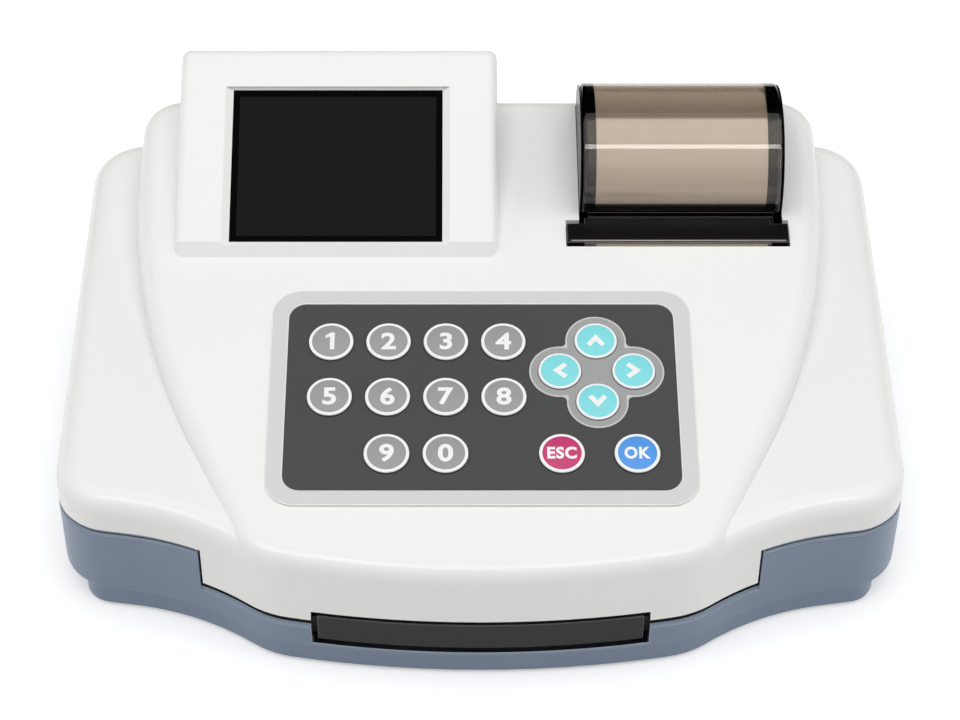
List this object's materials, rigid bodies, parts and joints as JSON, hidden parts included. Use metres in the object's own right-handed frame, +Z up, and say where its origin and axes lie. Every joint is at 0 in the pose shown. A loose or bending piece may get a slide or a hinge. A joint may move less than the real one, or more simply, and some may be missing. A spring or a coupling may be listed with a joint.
{
  "type": "urine analyzer",
  "caption": "Tabletop urine strip analyzer: raised tilted screen, sloped keypad deck over low side wings, clear-domed roll printer and a front strip tray on a two-tier base.",
  "frame": {"origin": "middle of the standing area, at the level of the soles of the feet", "axes": "+X to the right as seen from the keypad side, +Y towards the rear, +Z up"},
  "size_m": [0.27, 0.1911, 0.1042],
  "materials": {
    "white_cover": "glossy moulded",
    "blue_base": "satin moulded",
    "screen_glass": "gloss, dark tinted",
    "display_module": "matt",
    "silver_trim": "satin silver",
    "charcoal_panel": "matt",
    "grey_pad": "satin",
    "grey_key": "satin",
    "cyan_key": "satin",
    "magenta_key": "satin",
    "blue_key": "satin",
    "silicone": "matt",
    "circuit_board": "satin",
    "foot_rubber": "matt",
    "screw_steel": "plated",
    "black_front": "satin",
    "tray_white": "satin",
    "insert_white": "satin",
    "reference_white": "matt",
    "rack_plastic": "satin",
    "motor_steel": "satin",
    "chassis_black": "matt",
    "lens_glass": "polished",
    "connector_black": "satin",
    "connector_steel": "plated",
    "rocker_black": "satin",
    "printer_black": "satin",
    "thermal_paper": "matt paper",
    "core_board": "matt",
    "smoked_cover": "gloss, smoke tinted",
    "shaft_steel": "polished",
    "blade_steel": "bright",
    "platen_rubber": "matt",
    "head_ceramic": "satin"
  },
  "bodies": {
    "housing": {"upper_shell": "white_cover", "screen_hood": "white_cover", "screen_window": "screen_glass", "lcd_panel": "display_module", "keypad_frame": "silver_trim", "keypad_panel": "charcoal_panel", "arrow_pad": "grey_pad", "key_mat": "silicone", "key_board": "circuit_board", "lower_shell": "blue_base", "base_plate": "blue_base", "rubber_feet": "foot_rubber", "case_screws": "screw_steel", "tray_motor": "motor_steel", "tray_chassis": "chassis_black", "optics_head": "chassis_black", "optics_lens": "lens_glass", "optics_board": "circuit_board", "main_board": "circuit_board", "serial_port": "connector_black", "usb_port": "connector_steel", "power_inlet": "connector_black", "switch_housing": "connector_black", "roll_cradle": "printer_black", "hinge_pin": "shaft_steel", "printer_motor": "motor_steel", "print_head": "head_ceramic", "paper_web": "thermal_paper"},
    "key_1_cap": {"key_1": "grey_key"},
    "key_2_cap": {"key_2": "grey_key"},
    "key_3_cap": {"key_3": "grey_key"},
    "key_4_cap": {"key_4": "grey_key"},
    "key_5_cap": {"key_5": "grey_key"},
    "key_6_cap": {"key_6": "grey_key"},
    "key_7_cap": {"key_7": "grey_key"},
    "key_8_cap": {"key_8": "grey_key"},
    "key_9_cap": {"key_9": "grey_key"},
    "key_0_cap": {"key_0": "grey_key"},
    "key_up_cap": {"key_up": "cyan_key"},
    "key_down_cap": {"key_down": "cyan_key"},
    "key_left_cap": {"key_left": "cyan_key"},
    "key_right_cap": {"key_right": "cyan_key"},
    "key_esc_cap": {"key_esc": "magenta_key"},
    "key_ok_cap": {"key_ok": "blue_key"},
    "tray": {"tray_front": "black_front", "strip_tray": "tray_white", "strip_insert": "insert_white", "reference_pad": "reference_white", "tray_rack": "rack_plastic"},
    "tray_pinion_wheel": {"tray_pinion": "rack_plastic"},
    "roll": {"paper_roll": "thermal_paper", "roll_core": "core_board"},
    "door": {"printer_cover": "smoked_cover", "door_bar": "printer_black", "tear_blade": "blade_steel"},
    "platen": {"platen_roller": "platen_rubber", "platen_shaft": "shaft_steel", "platen_gear": "rack_plastic"},
    "printer_drive": {"printer_gear": "rack_plastic"},
    "rocker": {"power_rocker": "rocker_black"}
  },
  "joints": [
    {"name": "key_1_press", "type": "slide", "parent": "housing", "child": "key_1_cap", "axis": [0, 0.1908, -0.9816], "range_m": [0, 0.0008], "stiffness_N_per_m": 600, "springref_m": -0.0005},
    {"name": "key_2_press", "type": "slide", "parent": "housing", "child": "key_2_cap", "axis": [0, 0.1908, -0.9816], "range_m": [0, 0.0008], "stiffness_N_per_m": 600, "springref_m": -0.0005},
    {"name": "key_3_press", "type": "slide", "parent": "housing", "child": "key_3_cap", "axis": [0, 0.1908, -0.9816], "range_m": [0, 0.0008], "stiffness_N_per_m": 600, "springref_m": -0.0005},
    {"name": "key_4_press", "type": "slide", "parent": "housing", "child": "key_4_cap", "axis": [0, 0.1908, -0.9816], "range_m": [0, 0.0008], "stiffness_N_per_m": 600, "springref_m": -0.0005},
    {"name": "key_5_press", "type": "slide", "parent": "housing", "child": "key_5_cap", "axis": [0, 0.1908, -0.9816], "range_m": [0, 0.0008], "stiffness_N_per_m": 600, "springref_m": -0.0005},
    {"name": "key_6_press", "type": "slide", "parent": "housing", "child": "key_6_cap", "axis": [0, 0.1908, -0.9816], "range_m": [0, 0.0008], "stiffness_N_per_m": 600, "springref_m": -0.0005},
    {"name": "key_7_press", "type": "slide", "parent": "housing", "child": "key_7_cap", "axis": [0, 0.1908, -0.9816], "range_m": [0, 0.0008], "stiffness_N_per_m": 600, "springref_m": -0.0005},
    {"name": "key_8_press", "type": "slide", "parent": "housing", "child": "key_8_cap", "axis": [0, 0.1908, -0.9816], "range_m": [0, 0.0008], "stiffness_N_per_m": 600, "springref_m": -0.0005},
    {"name": "key_9_press", "type": "slide", "parent": "housing", "child": "key_9_cap", "axis": [0, 0.1908, -0.9816], "range_m": [0, 0.0008], "stiffness_N_per_m": 600, "springref_m": -0.0005},
    {"name": "key_0_press", "type": "slide", "parent": "housing", "child": "key_0_cap", "axis": [0, 0.1908, -0.9816], "range_m": [0, 0.0008], "stiffness_N_per_m": 600, "springref_m": -0.0005},
    {"name": "key_up_press", "type": "slide", "parent": "housing", "child": "key_up_cap", "axis": [0, 0.1908, -0.9816], "range_m": [0, 0.0008], "stiffness_N_per_m": 600, "springref_m": -0.0005},
    {"name": "key_down_press", "type": "slide", "parent": "housing", "child": "key_down_cap", "axis": [0, 0.1908, -0.9816], "range_m": [0, 0.0008], "stiffness_N_per_m": 600, "springref_m": -0.0005},
    {"name": "key_left_press", "type": "slide", "parent": "housing", "child": "key_left_cap", "axis": [0, 0.1908, -0.9816], "range_m": [0, 0.0008], "stiffness_N_per_m": 600, "springref_m": -0.0005},
    {"name": "key_right_press", "type": "slide", "parent": "housing", "child": "key_right_cap", "axis": [0, 0.1908, -0.9816], "range_m": [0, 0.0008], "stiffness_N_per_m": 600, "springref_m": -0.0005},
    {"name": "key_esc_press", "type": "slide", "parent": "housing", "child": "key_esc_cap", "axis": [0, 0.1908, -0.9816], "range_m": [0, 0.0008], "stiffness_N_per_m": 600, "springref_m": -0.0005},
    {"name": "key_ok_press", "type": "slide", "parent": "housing", "child": "key_ok_cap", "axis": [0, 0.1908, -0.9816], "range_m": [0, 0.0008], "stiffness_N_per_m": 600, "springref_m": -0.0005},
    {"name": "tray_slide", "type": "slide", "parent": "housing", "child": "tray", "axis": [0, -1, 0], "range_m": [0, 0.075]},
    {"name": "tray_pinion_spin", "type": "hinge", "parent": "housing", "child": "tray_pinion_wheel", "pos_m": [0.044, -0.0635, 0.02745], "axis": [1, 0, 0], "range_deg": [-597, 1]},
    {"name": "roll_spin", "type": "hinge", "parent": "housing", "child": "roll", "pos_m": [0.0674, 0.066, 0.0784], "axis": [1, 0, 0], "continuous": true},
    {"name": "door_swing", "type": "hinge", "parent": "housing", "child": "door", "pos_m": [0.0674, 0.0913, 0.0788], "axis": [-1, 0, 0], "range_deg": [0, 85]},
    {"name": "platen_spin", "type": "hinge", "parent": "door", "child": "platen", "pos_m": [0.0674, 0.0346, 0.064], "axis": [1, 0, 0], "continuous": true},
    {"name": "printer_gear_spin", "type": "hinge", "parent": "housing", "child": "printer_drive", "pos_m": [0.0325, 0.0346, 0.048], "axis": [1, 0, 0], "continuous": true},
    {"name": "power_rock", "type": "hinge", "parent": "housing", "child": "rocker", "pos_m": [0.072, 0.0906, 0.0222], "axis": [0, 0, 1], "range_deg": [0, 16]}
  ],
  "couplings": [
    {"joint": "tray_pinion_spin", "follows": "tray_slide", "rad_per_m": -138.89},
    {"joint": "platen_spin", "follows": "roll_spin", "ratio": -5.625},
    {"joint": "printer_gear_spin", "follows": "roll_spin", "ratio": 2.2011}
  ]
}
